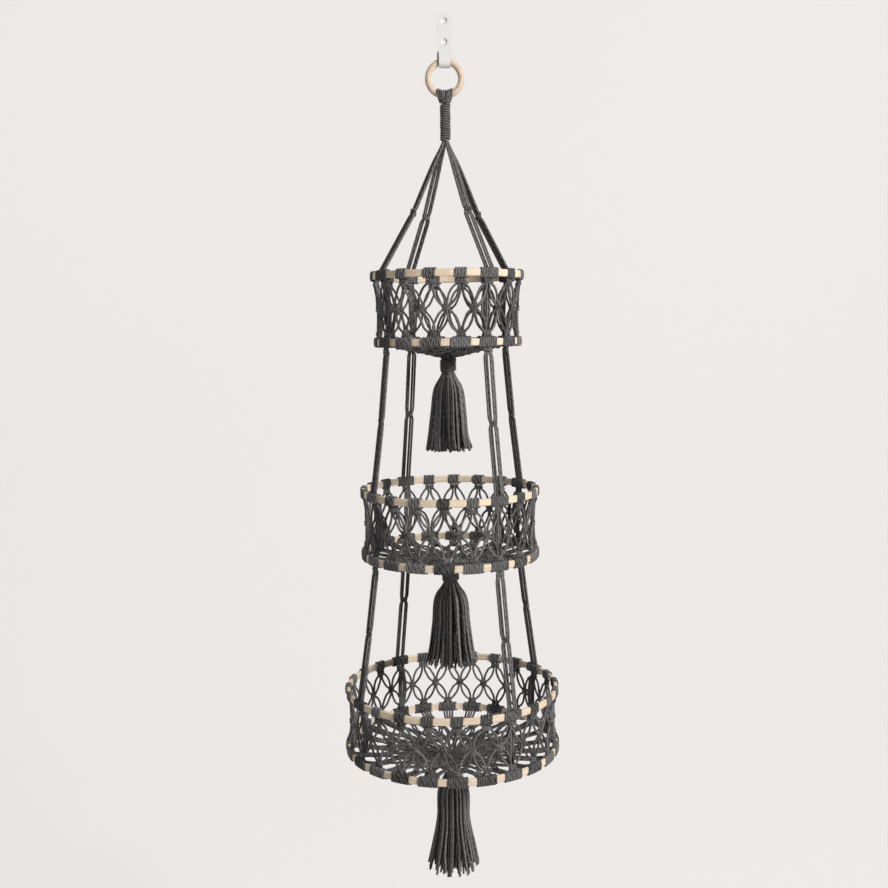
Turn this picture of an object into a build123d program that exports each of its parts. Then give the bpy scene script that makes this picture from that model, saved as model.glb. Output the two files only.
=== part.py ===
from build123d import *
import os
from math import atan2, cos, pi, radians, sin, sqrt, tan

os.makedirs("parts", exist_ok=True)

# Hanging fruit basket: three knotted cord baskets on wooden hoops, under one ring on a wall hook.
# Lengths are millimetres. +Z is up and the wall is the plane Y = 0, with the baskets in front of it at -Y.
# The origin lies on the wall, midway between the hook's two screw holes.

# Cord
cord = 3.1
tight_cord = 2.9
seat_gap = 0.3
turn_pitch = 3.5

# Wall hook
strap_width = 21.0
strap_thickness = 2.5
plate_rise = 23.7
plate_drop = 41.0
plate_corner = 2.0
hole_spacing = 28.0
hole_diameter = 5.0
sink_diameter = 9.0
hook_width = 15.0
hook_radius = 5.5
hook_lip_drop = 24.2
ring_drop = 65.3

# Wooden ring and the cords hitched on it
ring_radius = 23.0
ring_wire = 9.0
hitch_cord = 2.4
hitch_pitch = 2.7
hitch_loops = 8
hitch_clearance = 0.9
hitch_head_height = 4.6
round_share = 0.98
neck_radius = 4.7
neck_turns = 14
neck_pitch = 3.55

# Legs: four strands each, with one knot halfway
leg_azimuth = 32.4
leg_count = 4
strands = 4
strand_pitch = 4.6
strand_pitch_at_knot = 3.4
strand_end = 4.5
knot_height = 8.5
knot_thickness = 6.5
knot_edge = 2.4
knot_lip = 0.5
leg_knot_width = 14.6
leg_fan_length = 30.0
leg_fan_radius = 4.2
upper_knot_radius = 53.9
upper_knot_drop = 250.8
middle_knot_radius = 110.8
middle_knot_drop = 538.8
lower_knot_radius = 136.0
lower_knot_drop = 831.4

# Wooden hoops and the cord groups wound on them
band_height = 10.0
band_thickness = 5.0
band_edge = 1.6
wrap_side_gap = 0.6
wrap_end_gap = 1.0
net_turns = 4
net_turn_pitch = 5.0
full_turns = 8

# Side nets
knot_width = 15.0
net_inner_offset = 1.9
net_outer_offset = 5.4
petal_bow = 7.2

# Floor nets
floor_sag = 17.5
floor_thickness = 3.1
floor_rim_drop = 1.0
floor_strand = 3.4
floor_ring_shares = (0.93, 0.76, 0.6, 0.45, 0.32, 0.2)

# Tassels
tassel_wrap_drop = 23.0
tassel_wrap_turns = 5
tassel_wrap_pitch = 3.6
tassel_slack = 0.4
shoulder_angle = 60.0

# Top basket: hoop diameters and drops, cord groups, and its tassel
top_rim_diameter = 214.0
top_base_diameter = 206.0
top_rim_drop = 336.7
top_base_drop = 428.8
top_groups = 16
top_gather_radius = 8.6
top_dome_radius = 18.0
top_skirt_length = 112.0
top_skirt_middle_width = 47.0
top_skirt_bottom_width = 65.0

# Middle basket: hoop diameters and drops, cord groups, and its tassel
middle_rim_diameter = 254.0
middle_base_diameter = 253.0
middle_rim_drop = 642.6
middle_base_drop = 731.8
middle_groups = 20
middle_gather_radius = 9.5
middle_dome_radius = 21.0
middle_skirt_length = 122.0
middle_skirt_middle_width = 58.0
middle_skirt_bottom_width = 75.0

# Lower basket: hoop diameters and drops, cord groups, and its tassel
lower_rim_diameter = 308.0
lower_base_diameter = 309.0
lower_rim_drop = 932.6
lower_base_drop = 1016.4
lower_groups = 24
lower_gather_radius = 9.5
lower_dome_radius = 18.0
lower_skirt_length = 148.0
lower_skirt_middle_width = 50.0
lower_skirt_bottom_width = 77.0

# One overrun serves every cut
overrun = 1.0


class Tier:
    """The sizes and heights of one basket and its tassel."""

    def __init__(self, name, diameters, drops, groups, gather_radius, tassel_sizes):
        self.name = name
        self.top_radius = (diameters[0] - band_thickness) / 2
        self.bottom_radius = (diameters[1] - band_thickness) / 2
        self.top_z = -drops[0]
        self.bottom_z = -drops[1]
        self.groups = groups
        self.gather_radius = gather_radius
        self.dome_radius, self.skirt_length, middle_width, bottom_width = tassel_sizes
        self.skirt_middle = middle_width / 2
        self.skirt_bottom = bottom_width / 2


tiers = (
    Tier(
        "top",
        (top_rim_diameter, top_base_diameter),
        (top_rim_drop, top_base_drop),
        top_groups,
        top_gather_radius,
        (top_dome_radius, top_skirt_length, top_skirt_middle_width, top_skirt_bottom_width),
    ),
    Tier(
        "middle",
        (middle_rim_diameter, middle_base_diameter),
        (middle_rim_drop, middle_base_drop),
        middle_groups,
        middle_gather_radius,
        (middle_dome_radius, middle_skirt_length, middle_skirt_middle_width, middle_skirt_bottom_width),
    ),
    Tier(
        "lower",
        (lower_rim_diameter, lower_base_diameter),
        (lower_rim_drop, lower_base_drop),
        lower_groups,
        lower_gather_radius,
        (lower_dome_radius, lower_skirt_length, lower_skirt_middle_width, lower_skirt_bottom_width),
    ),
)

# Places that several pieces share
hang_y = -(strap_thickness + hook_radius)
ring_z = -ring_drop
hitch_z = ring_z - ring_radius
head_top = hitch_z - ring_wire / 2 - seat_gap
head_bottom = head_top - hitch_head_height
neck_bottom = head_bottom - seat_gap - neck_turns * neck_pitch - tight_cord
wrap_half_width = band_thickness / 2 + wrap_side_gap + tight_cord / 2
wrap_half_height = band_height / 2 + wrap_end_gap + tight_cord / 2
wrap_reach = wrap_half_height + tight_cord / 2 + seat_gap
hang = Location((0, hang_y, 0))


def around(radius, along, z):
    """A point on the front of a cylinder about the hanging axis, shifted by an arc length to the right."""
    return Vector(radius * sin(along / radius), -radius * cos(along / radius), z)


def biarc(start, start_direction, end, end_direction):
    """Two arcs, each as start, middle and end, that join two points smoothly in the given directions."""
    chord = end - start
    both = start_direction + end_direction
    closeness = 2 * (1 - start_direction.dot(end_direction))
    lean = chord.dot(both)
    reach = (sqrt(lean * lean + closeness * chord.dot(chord)) - lean) / closeness
    corners = (start + start_direction * reach, end - end_direction * reach)
    joint = (corners[0] + corners[1]) / 2
    arcs = []
    for first, corner, last in ((start, corners[0], joint), (joint, corners[1], end)):
        chord_middle = (first + last) / 2
        rise = corner - chord_middle
        half_chord = (first - chord_middle).length
        sagitta = half_chord * tan(atan2(rise.length, half_chord) / 2)
        arcs.append((first, chord_middle + rise.normalized() * sagitta, last))
    return arcs


def tube(arcs, diameter):
    """One unbroken round tube along arcs that follow on smoothly."""
    with BuildPart() as piece:
        with BuildLine() as path:
            edges = [ThreePointArc(*arc) for arc in arcs]
        with BuildSketch(Plane(origin=edges[0] @ 0, z_dir=edges[0] % 0)):
            Circle(diameter / 2)
        sweep(path=path.line)
    return piece.part


def bent_strand(start, corner, end):
    """A strand with straight ends and one long bend between them, whose straight runs aim at a corner."""
    reach = min((corner - start).length, (corner - end).length) - strand_end
    with BuildPart() as piece:
        with BuildLine() as path:
            leave = Line(start, corner + (start - corner).normalized() * reach)
            bend = TangentArc(leave @ 1, corner + (end - corner).normalized() * reach, tangent=leave % 1)
            Line(bend @ 1, end)
        with BuildSketch(Plane(origin=leave @ 0, z_dir=leave % 0)):
            Circle(cord / 2)
        sweep(path=path.line)
    return piece.part


def winding_arcs(stations):
    """Biarcs through stations that are pairs of a point and a direction."""
    arcs = []
    for (start, leave), (end, reach) in zip(stations, stations[1:]):
        arcs.extend(biarc(start, leave, end, reach))
    return arcs


def report_gap(name, arcs, turns, diameter):
    """Prints a winding's least gap to itself, measured on points that lie over half a turn apart."""
    points = [arc[index] for arc in arcs for index in (0, 1)]
    step = round(len(points) / turns / 2)
    pairs = ((i, j) for i in range(len(points)) for j in range(i + step + 1, len(points)))
    least = min((points[i] - points[j]).length for i, j in pairs)
    print(f"{name}: {turns} turns, least gap to itself {least - diameter:.2f} mm")


def hoop_winding(name, radius, turns, pitch):
    """Cord wound over a hoop's band at the front, in quarter turns."""
    stations = []
    rise = pitch / (2 * pi * sqrt((wrap_half_width**2 + wrap_half_height**2) / 2))
    for quarter in range(4 * turns + 1):
        phase = radians(90 * quarter - 90)
        angle = pitch * (quarter / 4 - turns / 2) / radius
        outward = Vector(sin(angle), -cos(angle), 0)
        onward = Vector(cos(angle), sin(angle), 0)
        height = Vector(0, 0, wrap_half_height * sin(phase))
        point = outward * (radius + wrap_half_width * cos(phase)) + height
        turning = outward * -sin(phase) + Vector(0, 0, cos(phase))
        stations.append((point, (turning + onward * rise).normalized()))
    arcs = winding_arcs(stations)
    report_gap(name, arcs, turns, tight_cord)
    return tube(arcs, tight_cord)


def upright_winding(name, radius, turns, pitch, top):
    """Cord wound round an upright bundle, in half turns from the top down."""
    stations = []
    fall = pitch / (2 * pi * radius)
    for half in range(2 * turns + 1):
        phase = pi * half
        point = Vector(radius * cos(phase), radius * sin(phase), top - tight_cord / 2 - pitch * half / 2)
        turning = Vector(-sin(phase), cos(phase), -fall).normalized()
        stations.append((point, turning))
    arcs = winding_arcs(stations)
    report_gap(name, arcs, turns, tight_cord)
    return tube(arcs, tight_cord)


def wall_hook():
    """A strap screwed to the wall, with a narrower hook bent forward at its foot."""
    hook_bottom = ring_z + sqrt((ring_radius - ring_wire / 2) ** 2 - (hook_width / 2) ** 2) - seat_gap
    bend_z = hook_bottom + hook_radius
    with BuildPart() as piece:
        with BuildSketch(Plane.XZ):
            with Locations((0, (plate_rise - plate_drop) / 2)):
                RectangleRounded(strap_width, plate_rise + plate_drop, plate_corner)
        extrude(amount=strap_thickness)
        with BuildSketch(Plane.YZ.offset(-hook_width / 2)):
            with BuildLine():
                back = Line((0, -plate_drop + overrun), (0, bend_z))
                outer = CenterArc((hang_y, bend_z), hook_radius + strap_thickness, 0, -180)
                lip = Line(outer @ 1, (2 * hang_y, -hook_lip_drop))
                lip_end = Line(lip @ 1, (2 * hang_y + strap_thickness, -hook_lip_drop))
                lip_inside = Line(lip_end @ 1, (2 * hang_y + strap_thickness, bend_z))
                inner = CenterArc((hang_y, bend_z), hook_radius, 180, 180)
                front = Line(inner @ 1, (-strap_thickness, -plate_drop + overrun))
                Line(front @ 1, back @ 0)
            make_face()
        extrude(amount=hook_width)
        lip_corners = piece.edges().filter_by(Axis.Y).filter_by_position(
            Axis.Z, -hook_lip_drop, -hook_lip_drop
        )
        fillet(lip_corners, plate_corner)
        with Locations(Plane.XZ.offset(strap_thickness)):
            with Locations((0, hole_spacing / 2), (0, -hole_spacing / 2)):
                CounterSinkHole(hole_diameter / 2, sink_diameter / 2)
    return piece.part


def wood_ring():
    """The turned ring that hangs in the hook."""
    with BuildPart() as piece:
        with BuildSketch(Plane.XY.offset(ring_z)):
            with Locations((ring_radius, hang_y)):
                Circle(ring_wire / 2)
        revolve(axis=Axis((0, hang_y, ring_z), (0, 1, 0)))
    return piece.part


def hitch_loop_radius(x):
    """The radius of a loop at x, wider off the middle, where the ring's wire crosses it at a slant."""
    wire_radius = ring_wire / 2 * ring_radius / sqrt(ring_radius**2 - x**2)
    return wire_radius + hitch_clearance + hitch_cord / 2


def hitch_loops_on_ring():
    """One loop of cord for each pair of strands, over the ring's wire and down into the head."""
    loops = []
    foot = head_top - hitch_head_height / 4
    for index in range(hitch_loops):
        x = (index - (hitch_loops - 1) / 2) * hitch_pitch
        z = ring_z - sqrt(ring_radius**2 - x**2)
        loop_radius = hitch_loop_radius(x)
        with BuildPart() as loop:
            with BuildLine() as path:
                rise = Line((x, hang_y - loop_radius, foot), (x, hang_y - loop_radius, z))
                over = ThreePointArc(rise @ 1, (x, hang_y, z + loop_radius), (x, hang_y + loop_radius, z))
                Line(over @ 1, (x, hang_y + loop_radius, foot))
            with BuildSketch(Plane(origin=rise @ 0, z_dir=rise % 0)):
                Circle(hitch_cord / 2)
            sweep(path=path.line)
        loops.append(loop.part)
    return loops


def ring_hitch():
    """The cords hitched over the ring, gathered into the head and the neck's core."""
    last_loop = (hitch_loops - 1) / 2 * hitch_pitch
    half_depth = hitch_loop_radius(last_loop) + hitch_cord / 2
    half_width = last_loop + hitch_cord / 2
    foot_radius = neck_radius + tight_cord
    loops = hitch_loops_on_ring()
    with BuildPart() as piece:
        with BuildSketch(Plane.XY.offset(head_top)):
            with Locations((0, hang_y)):
                RectangleRounded(2 * half_width, 2 * half_depth, hitch_cord)
        with BuildSketch(Plane.XY.offset(head_bottom)):
            with Locations((0, hang_y)):
                RectangleRounded(2 * foot_radius, 2 * foot_radius, foot_radius * round_share)
        loft(ruled=True)
        with BuildSketch(Plane.XY.offset(neck_bottom)):
            with Locations((0, hang_y)):
                Circle(neck_radius)
        extrude(amount=head_bottom - neck_bottom + hitch_head_height / 2)
        add(loops)
    return piece.part


def neck_wrap():
    """The long wrap that binds the strands under the ring."""
    radius = neck_radius + seat_gap + tight_cord / 2
    turns = upright_winding("neck_wrap", radius, neck_turns, neck_pitch, head_bottom - seat_gap)
    with BuildPart() as piece:
        with Locations(hang):
            add(turns)
    return piece.part


def knot(centre, width):
    """A tight square knot, as a block with round edges that faces out from the hanging axis."""
    with BuildPart() as piece:
        with BuildSketch(Plane.XY.offset(centre.Z - knot_height / 2)):
            with Locations((centre.X, centre.Y)):
                RectangleRounded(width, knot_thickness, knot_edge)
        extrude(amount=knot_height)
        ends = piece.faces().filter_by(Axis.Z)
        fillet(ends.edges(), knot_lip)
    return piece.part


def strand_run(start, end):
    """Four strands side by side from one place to the next, spread a little at the middle."""
    runs = []
    for index in range(strands):
        place = index - (strands - 1) / 2
        close = Vector(place * strand_pitch_at_knot, 0, 0)
        spread = Vector(place * strand_pitch, 0, 0)
        runs.append(bent_strand(start + close, (start + end) / 2 + spread, end + close))
    return runs


def leg(top, middle, bottom):
    """A leg at the front: what is at its top, then strands, the knot halfway and strands to the hoop."""
    half_knot = Vector(0, 0, knot_height / 4)
    pieces = strand_run(top, middle + half_knot) + strand_run(middle - half_knot, bottom)
    pieces.append(knot(middle, leg_knot_width))
    return pieces


def upper_leg(tier):
    """A leg from the neck to the top hoop, fanning out of the neck's bundle."""
    middle = Vector(0, -upper_knot_radius, -upper_knot_drop)
    bottom = Vector(0, -tier.top_radius, tier.top_z + wrap_reach + cord / 2)
    fan_top = neck_bottom - seat_gap
    slope = (upper_knot_radius - leg_fan_radius) / (upper_knot_drop + fan_top)
    fan_end = Vector(0, -(leg_fan_radius + leg_fan_length * slope), fan_top - leg_fan_length)
    fan_thickness = cord + 2 * knot_lip
    fan_width = (strands - 1) * strand_pitch_at_knot + fan_thickness
    pieces = leg(fan_end + Vector(0, 0, cord), middle, bottom)
    with BuildPart() as piece:
        with BuildSketch(Plane.XY.offset(fan_top)):
            with Locations((0, -leg_fan_radius)):
                SlotOverall(fan_thickness + knot_lip, fan_thickness)
        with BuildSketch(Plane.XY.offset(fan_end.Z)):
            with Locations((0, fan_end.Y)):
                SlotOverall(fan_width, fan_thickness)
        loft(ruled=True)
        add(pieces)
    return piece.part


def tier_leg(tier_above, tier_below, knot_radius, knot_drop):
    """A leg from a knot under one basket to the next basket's top hoop."""
    head = Vector(0, -tier_above.bottom_radius, tier_above.bottom_z - wrap_reach - knot_height / 2)
    middle = Vector(0, -knot_radius, -knot_drop)
    bottom = Vector(0, -tier_below.top_radius, tier_below.top_z + wrap_reach + cord / 4)
    pieces = leg(head - Vector(0, 0, knot_height / 4), middle, bottom)
    with BuildPart() as piece:
        add(knot(head, leg_knot_width))
        add(pieces)
    return piece.part


def hoop(radius, z):
    """A flat wooden band bent to a hoop."""
    with BuildPart() as piece:
        with BuildSketch(Plane.XZ):
            with Locations((radius, z)):
                RectangleRounded(band_thickness, band_height, band_edge)
        revolve(axis=Axis.Z)
    with BuildPart() as placed:
        with Locations(hang):
            add(piece.part)
    return placed.part


def azimuths(tier):
    """The directions of a tier's cord groups, the first on a leg, as pairs of an angle and on_leg."""
    step = 360 / tier.groups
    every = tier.groups // leg_count
    return [(leg_azimuth + step * index, index % every == 0) for index in range(tier.groups)]


def placed_copies(template, angles):
    """Copies of a piece made at the front, turned about the hanging axis."""
    return [template.moved(hang * Location((0, 0, 0), (0, 0, angle))) for angle in angles]


def top_wraps(tier):
    """Four turns for each group of the side net, and eight on each leg."""
    height = Location((0, 0, tier.top_z))
    net = hoop_winding(f"{tier.name}_top_wraps net", tier.top_radius, net_turns, net_turn_pitch)
    legs = hoop_winding(f"{tier.name}_top_wraps leg", tier.top_radius, full_turns, turn_pitch)
    with BuildPart() as piece:
        add(placed_copies(net.moved(height), [angle for angle, on_leg in azimuths(tier) if not on_leg]))
        add(placed_copies(legs.moved(height), [angle for angle, on_leg in azimuths(tier) if on_leg]))
    return piece.part


def bottom_wraps(tier):
    """Eight turns for every group."""
    height = Location((0, 0, tier.bottom_z))
    wrap = hoop_winding(f"{tier.name}_bottom_wraps", tier.bottom_radius, full_turns, turn_pitch)
    with BuildPart() as piece:
        add(placed_copies(wrap.moved(height), [angle for angle, on_leg in azimuths(tier)]))
    return piece.part


class NetRows:
    """Where a side net's knots lie between its two hoops."""

    def __init__(self, tier):
        self.tier = tier
        self.top = tier.top_z - wrap_reach
        self.bottom = tier.bottom_z + wrap_reach
        self.middle = (self.top + self.bottom) / 2
        self.half_step = pi * (tier.top_radius + tier.bottom_radius) / 2 / tier.groups

    def radius(self, z):
        """The net's radius, on the cone between the two hoops."""
        share = (z - self.tier.bottom_z) / (self.tier.top_z - self.tier.bottom_z)
        return self.tier.bottom_radius + share * (self.tier.top_radius - self.tier.bottom_radius)

    def point(self, along, z):
        return around(self.radius(z), along, z)


def petal(rows, knot_end, middle_end, side):
    """Two strands that bow apart between a knot at a hoop and the level of the knots halfway down."""
    pair = []
    onward = cord if middle_end > knot_end else -cord
    for near, far, bow in (
        (net_inner_offset, net_outer_offset, -petal_bow),
        (net_outer_offset, net_inner_offset, petal_bow),
    ):
        start = (near, knot_end)
        end = (rows.half_step - far, middle_end + onward)
        run = Vector(end[0] - start[0], end[1] - start[1])
        across = Vector(abs(run.Y), abs(run.X), 0).normalized() * bow
        half = ((start[0] + end[0]) / 2 + across.X, (start[1] + end[1]) / 2)
        lift = across.Y if knot_end > middle_end else -across.Y
        stops = (start, (half[0], half[1] + lift), end)
        pair.append(bent_strand(*(rows.point(side * along, z) for along, z in stops)))
    return pair


def side_net(tier):
    """Knots under the top hoop, halfway and over the bottom hoop, with pairs of bowed strands between."""
    rows = NetRows(tier)
    half = knot_height / 2
    upper_end = rows.middle + half + seat_gap
    lower_end = rows.middle - half - seat_gap
    upper_knot = rows.point(0, rows.top - half)
    lower_knot = rows.point(0, rows.bottom + half)
    middle_knot = rows.point(0, rows.middle)
    upper_start = rows.top - knot_height * 3 / 4
    lower_start = rows.bottom + knot_height * 3 / 4
    with BuildPart() as upper:
        add(knot(upper_knot, knot_width))
        add(petal(rows, upper_start, upper_end, 1) + petal(rows, upper_start, upper_end, -1))
        split(bisect_by=Plane.XY.offset(upper_end), keep=Keep.TOP)
    with BuildPart() as lower:
        add(knot(lower_knot, knot_width))
        add(petal(rows, lower_start, lower_end, 1) + petal(rows, lower_start, lower_end, -1))
        split(bisect_by=Plane.XY.offset(lower_end), keep=Keep.BOTTOM)
    middle = knot(middle_knot, knot_width)
    angles = [angle for angle, on_leg in azimuths(tier)]
    between = [angle + 180 / tier.groups for angle in angles]
    with BuildPart() as piece:
        add(placed_copies(upper.part, angles))
        add(placed_copies(lower.part, angles))
        add(placed_copies(middle, between))
    return piece.part


def side_strands(tier):
    """The legs' straight strands inside the net, from the knot under one hoop to the knot over the other."""
    rows = NetRows(tier)
    inset = cord + seat_gap
    top = rows.top - knot_height - seat_gap
    bottom = rows.bottom + knot_height + seat_gap
    lean = (rows.radius(top) - rows.radius(bottom)) / (top - bottom)
    strand_list = []
    for index in range(strands):
        x = (index - (strands - 1) / 2) * strand_pitch_at_knot
        foot = Vector(x, -rows.radius(bottom) + inset, bottom)
        with BuildPart() as strand:
            with BuildSketch(Plane(origin=foot, z_dir=(0, -lean, 1))):
                Circle(cord / 2)
            extrude(amount=(top - bottom) * sqrt(1 + lean * lean))
        strand_list.append(strand.part)
    leg_angles = [angle for angle, on_leg in azimuths(tier) if on_leg]
    with BuildPart() as piece:
        for strand in strand_list:
            add(placed_copies(strand, leg_angles))
    return piece.part


def floor_net(tier):
    """A sagging net of alternating gaps from the bottom hoop to the gather in the middle."""
    rim = tier.bottom_radius - wrap_half_width - tight_cord / 2 - seat_gap
    eye = tier.gather_radius + seat_gap
    rim_top = tier.bottom_z - floor_rim_drop
    step = pi / tier.groups
    with BuildPart() as piece:
        with BuildSketch(Plane.XZ):
            with BuildLine():
                Polyline(
                    (eye, rim_top - floor_sag),
                    (rim, rim_top),
                    (rim, rim_top - floor_thickness),
                    (eye, rim_top - floor_sag - floor_thickness),
                    close=True,
                )
            make_face()
        revolve(axis=Axis.Z)
        with BuildSketch(Plane.XY.offset(rim_top + overrun)):
            for row in range(len(floor_ring_shares) - 2):
                outer, middle, inner = (rim * share for share in floor_ring_shares[row : row + 3])
                shrink = floor_strand / 2
                half_gap = middle * step - shrink * sqrt(2)
                turn = leg_azimuth - 90 + (row + 1) % 2 * 180 / tier.groups
                corners = (
                    (outer - shrink, 0),
                    (middle, half_gap),
                    (inner + shrink, 0),
                    (middle, -half_gap),
                )
                with PolarLocations(0, tier.groups, start_angle=turn):
                    Polygon(*corners, align=None)
        extrude(amount=-(floor_sag + floor_thickness + 2 * overrun), mode=Mode.SUBTRACT)
    with BuildPart() as placed:
        with Locations(hang):
            add(piece.part)
    return placed.part


def wrap_span(tier):
    """The top and bottom of a tassel's wrap."""
    top = tier.bottom_z - tassel_wrap_drop
    return top, top - tassel_wrap_turns * tassel_wrap_pitch - tight_cord


def gather(tier):
    """The bundle in the middle of the floor, where its strands turn down into the tassel."""
    top, bottom = wrap_span(tier)
    crown = tier.bottom_z - floor_rim_drop - floor_sag + floor_thickness
    with BuildPart() as piece:
        with BuildSketch(Plane.XY.offset(bottom)):
            with Locations((0, hang_y)):
                Circle(tier.gather_radius)
        extrude(amount=crown - bottom)
        fillet(piece.edges().group_by(Axis.Z)[-1], floor_thickness)
    return piece.part


def tassel_wrap(tier):
    """The wrap that binds a tassel's neck."""
    top, bottom = wrap_span(tier)
    radius = tier.gather_radius + seat_gap + tight_cord / 2
    turns = upright_winding(f"{tier.name}_tassel_wrap", radius, tassel_wrap_turns, tassel_wrap_pitch, top)
    with BuildPart() as piece:
        with Locations(hang):
            add(turns)
    return piece.part


def tassel(tier):
    """A flared skirt of cut strands, with a round head about the point that it swings on."""
    top = wrap_span(tier)[1] - tassel_slack
    pivot_z = top - tier.dome_radius
    bottom_z = top - tier.skirt_length
    shoulder = radians(shoulder_angle)
    half_shoulder = radians(shoulder_angle / 2)
    crest = (0, top)
    crown = (tier.dome_radius * sin(half_shoulder), pivot_z + tier.dome_radius * cos(half_shoulder))
    start = (tier.dome_radius * sin(shoulder), pivot_z + tier.dome_radius * cos(shoulder))
    half = (tier.skirt_middle, (start[1] + bottom_z) / 2)
    end = (tier.skirt_bottom, bottom_z)
    with BuildPart() as skirt:
        with BuildSketch(Plane.XZ):
            with BuildLine():
                ThreePointArc(crest, crown, start)
                ThreePointArc(start, half, end)
                Line(end, (0, bottom_z))
                Line((0, bottom_z), crest)
            make_face()
        revolve(axis=Axis.Z)
    with BuildPart() as placed:
        with Locations(hang):
            add(skirt.part)
    return placed.part


def write(name, part):
    """Labels one piece and writes it as its own file."""
    part.label = name
    export_step(part, f"parts/{name}.step")


write("wall_hook", wall_hook())
write("wood_ring", wood_ring())
write("ring_hitch", ring_hitch())
write("neck_wrap", neck_wrap())

leg_templates = {
    "upper_leg": upper_leg(tiers[0]),
    "middle_leg": tier_leg(tiers[0], tiers[1], middle_knot_radius, middle_knot_drop),
    "lower_leg": tier_leg(tiers[1], tiers[2], lower_knot_radius, lower_knot_drop),
}
leg_places = ("front_right", "back_right", "back_left", "front_left")
for leg_name, template in leg_templates.items():
    for quarter, place in enumerate(leg_places):
        with BuildPart() as leg_part:
            add(placed_copies(template, [leg_azimuth + 90 * quarter]))
        write(f"{leg_name}_{place}", leg_part.part)

for tier in tiers:
    write(f"{tier.name}_basket_top_hoop", hoop(tier.top_radius, tier.top_z))
    write(f"{tier.name}_basket_bottom_hoop", hoop(tier.bottom_radius, tier.bottom_z))
    write(f"{tier.name}_basket_top_wraps", top_wraps(tier))
    write(f"{tier.name}_basket_bottom_wraps", bottom_wraps(tier))
    write(f"{tier.name}_basket_side_net", side_net(tier))
    write(f"{tier.name}_basket_side_strands", side_strands(tier))
    write(f"{tier.name}_basket_floor_net", floor_net(tier))
    write(f"{tier.name}_basket_gather", gather(tier))
    write(f"{tier.name}_tassel_wrap", tassel_wrap(tier))
    write(f"{tier.name}_tassel", tassel(tier))
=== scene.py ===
import random
from math import atan, cos, pi, radians, sin, sqrt

import bpy
import numpy as np
from mathutils import Matrix, Vector


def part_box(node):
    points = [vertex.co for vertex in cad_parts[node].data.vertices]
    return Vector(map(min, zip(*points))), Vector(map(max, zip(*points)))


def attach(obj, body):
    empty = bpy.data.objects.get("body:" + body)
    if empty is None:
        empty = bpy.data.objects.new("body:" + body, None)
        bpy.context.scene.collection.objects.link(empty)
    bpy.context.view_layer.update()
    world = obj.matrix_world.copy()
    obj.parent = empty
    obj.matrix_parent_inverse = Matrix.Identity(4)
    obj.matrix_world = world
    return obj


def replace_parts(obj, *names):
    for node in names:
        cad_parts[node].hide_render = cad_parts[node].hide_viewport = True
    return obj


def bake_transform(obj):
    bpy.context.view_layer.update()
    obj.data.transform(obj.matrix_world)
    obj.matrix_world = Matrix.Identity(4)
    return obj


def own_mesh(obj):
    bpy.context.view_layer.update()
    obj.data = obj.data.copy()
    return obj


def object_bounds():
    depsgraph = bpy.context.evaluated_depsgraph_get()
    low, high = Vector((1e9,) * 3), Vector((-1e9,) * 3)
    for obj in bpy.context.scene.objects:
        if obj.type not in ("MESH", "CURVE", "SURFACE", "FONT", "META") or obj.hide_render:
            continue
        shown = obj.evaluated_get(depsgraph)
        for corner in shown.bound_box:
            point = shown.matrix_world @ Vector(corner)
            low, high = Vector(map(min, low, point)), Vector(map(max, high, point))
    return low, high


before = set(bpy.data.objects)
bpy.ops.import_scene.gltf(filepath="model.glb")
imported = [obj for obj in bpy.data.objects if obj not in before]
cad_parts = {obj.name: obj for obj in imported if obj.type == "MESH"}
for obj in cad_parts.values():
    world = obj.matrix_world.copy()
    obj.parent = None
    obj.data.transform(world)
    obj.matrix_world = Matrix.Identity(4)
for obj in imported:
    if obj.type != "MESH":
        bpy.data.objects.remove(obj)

# Hanging fruit basket: knotted cord baskets on wooden hoops. Lengths are metres, in the frame of the
# CAD model. A value named SHARE or SHARES is a part of the length it is used with.
cad_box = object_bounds()
dice = random.Random(7)

# Cord and its mesh: its width, the length of one twist, the steps along it and its sides
CORD = 0.0033
CORD_LAY = 0.010
SPACING = 0.0022
KNOT_SPACING = SPACING * 0.8
TASSEL_SPACING = SPACING * 1.4
SIDES = 8

# Wooden bands and the cord wound on them
BAND_THICKNESS = 0.005
BAND_HEIGHT = 0.010
WOUND_THICKNESS = 0.0022
WOUND_CLEARANCE = 0.00005
WRAP_STEPS = 20
WRAP_FILL_SHARE = 0.84
WRAP_CORE_SHARE = 0.9
WRAP_WANDER_SHARE = 0.05
WRAP_WANDER_TURN = 0.37
NET_TURNS = 4
NET_PITCH = 0.0042
NET_WIDTH = 0.0037
FULL_TURNS = 8
FULL_PITCH = 0.0034
FULL_WIDTH = 0.0035

# Neck. A hitch loop's pairs are shares of its place along the ring and of its reach round the wire
HITCH_LOOPS = 8
HITCH_PITCH = 0.0027
HITCH_CORD = 0.0026
HITCH_CLEARANCE = 0.0009
# Half the width and half the depth of the turns that bind the loops, from the lower one up
HITCH_BINDING = ((0.0073, 0.0070), (0.0083, 0.0076))
HITCH_TUCKED_SHARES = (0.28, 0.35)
HITCH_BOUND_SHARES = (0.45, 0.6)
HITCH_OPEN_SHARES = (0.66, 0.8)
HITCH_OPEN_RISE = 1.5 * HITCH_CORD
HITCH_SIDE_SHARES = (0.97, 0.45)
HITCH_CORNER_SHARE = 0.71
RING_WIRE = 0.009
NECK_TURNS = 15
NECK_WIDTH = 0.0158
NECK_TUCK = 0.008

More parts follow.
